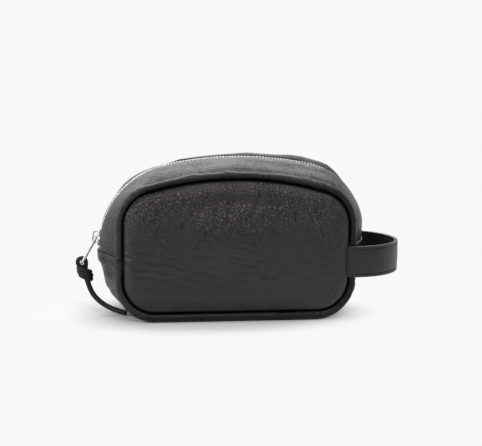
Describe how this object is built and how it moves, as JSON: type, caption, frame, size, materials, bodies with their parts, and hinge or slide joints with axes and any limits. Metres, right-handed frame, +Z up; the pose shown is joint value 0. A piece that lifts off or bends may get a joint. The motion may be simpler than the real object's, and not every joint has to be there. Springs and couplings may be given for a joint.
{
  "type": "wash bag",
  "caption": "Soft pebbled leather wash bag with a metal zip over the top, a knotted thong on the zip pull and a carrying strap loop at one end.",
  "frame": {"origin": "centre of the flat base that the bag stands on", "axes": "+X along the bag towards the strap loop, -Y out of the front panel, +Z up"},
  "size_m": [0.2662, 0.098, 0.1276],
  "materials": {
    "body_leather": "black pebbled grain, soft sheen",
    "strap_leather": "black smooth grain with painted edges",
    "thong_leather": "black round leather cord",
    "lining_cloth": "dark plain-weave cloth",
    "zip_tape": "black woven tape",
    "zip_metal": "polished nickel plate"
  },
  "bodies": {
    "bag": {"front_panel": "body_leather", "rear_panel": "body_leather", "front_zip_gusset": "body_leather", "rear_zip_gusset": "body_leather", "base_gusset": "body_leather", "front_lining": "lining_cloth", "rear_lining": "lining_cloth", "front_zip_lining": "lining_cloth", "rear_zip_lining": "lining_cloth", "base_lining": "lining_cloth", "front_zip_tape": "zip_tape", "rear_zip_tape": "zip_tape", "front_zip_teeth": "zip_metal", "rear_zip_teeth": "zip_metal", "zip_top_stops": "zip_metal", "zip_bottom_stop": "zip_metal"},
    "slider": {"zip_slider": "zip_metal", "slider_bridge": "zip_metal"},
    "puller": {"pull_ring": "zip_metal"},
    "thong": {"thong_loop": "thong_leather", "thong_knot": "thong_leather", "thong_tail": "thong_leather"},
    "strap": {"strap_face": "strap_leather", "strap_lining": "strap_leather"}
  },
  "joints": [
    {"name": "zip_travel", "type": "hinge", "parent": "bag", "child": "slider", "pos_m": [-0.04, 0, 0.0548], "axis": [0, 1, 0], "range_deg": [0, 64], "deforming": ["front_zip_teeth", "rear_zip_teeth"]},
    {"name": "ring_swing", "type": "hinge", "parent": "slider", "child": "puller", "pos_m": [-0.10993, 0, 0.06243], "axis": [0, 1, 0], "range_deg": [0, 140]},
    {"name": "thong_swing", "type": "hinge", "parent": "puller", "child": "thong", "pos_m": [-0.12157, 0, 0.04144], "axis": [0, 1, 0], "range_deg": [0, 55]},
    {"name": "strap_tilt", "type": "hinge", "parent": "bag", "child": "strap", "pos_m": [0.1104, 0, 0.0473], "axis": [0, 1, 0], "range_deg": [-25, 25], "stiffness_Nm_per_rad": 0.3}
  ]
}
